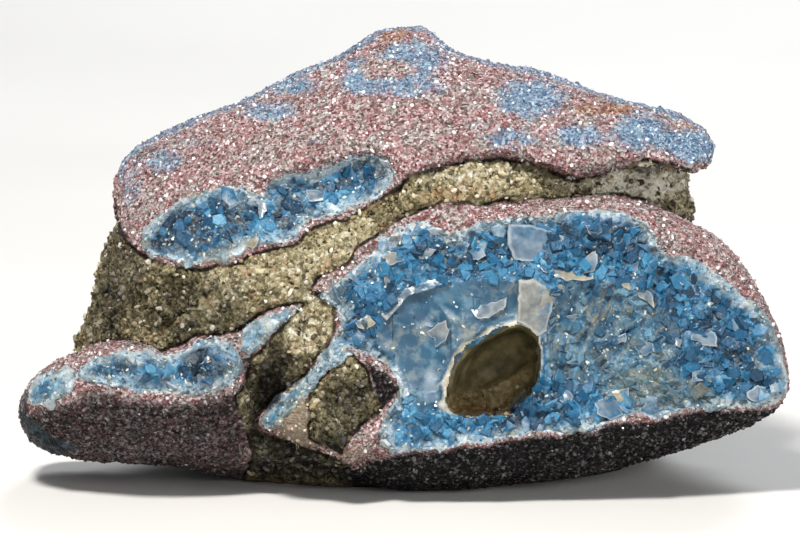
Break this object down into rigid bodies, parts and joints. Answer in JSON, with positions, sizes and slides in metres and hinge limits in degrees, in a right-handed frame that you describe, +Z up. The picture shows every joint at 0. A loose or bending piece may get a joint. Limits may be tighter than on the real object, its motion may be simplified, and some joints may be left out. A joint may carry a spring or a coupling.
{
  "type": "agate specimen",
  "caption": "Loose broken hand specimen of blue agate in its matrix rock, with a sheet of agate on top, lobes broken open in front and a hollow in the largest one.",
  "frame": {"origin": "middle of the stone's box, on the surface it rests on", "axes": "+X runs along the stone to the right as seen from the broken faces, -Y is the way the broken faces look, +Z is up"},
  "size_m": [0.0922, 0.054, 0.0532],
  "materials": {
    "agate_stone": "broken glassy blue agate with a grainy pink rind, in rough olive-tan rock"
  },
  "bodies": {
    "root": {"agate_stone": "agate_stone"}
  },
  "joints": []
}
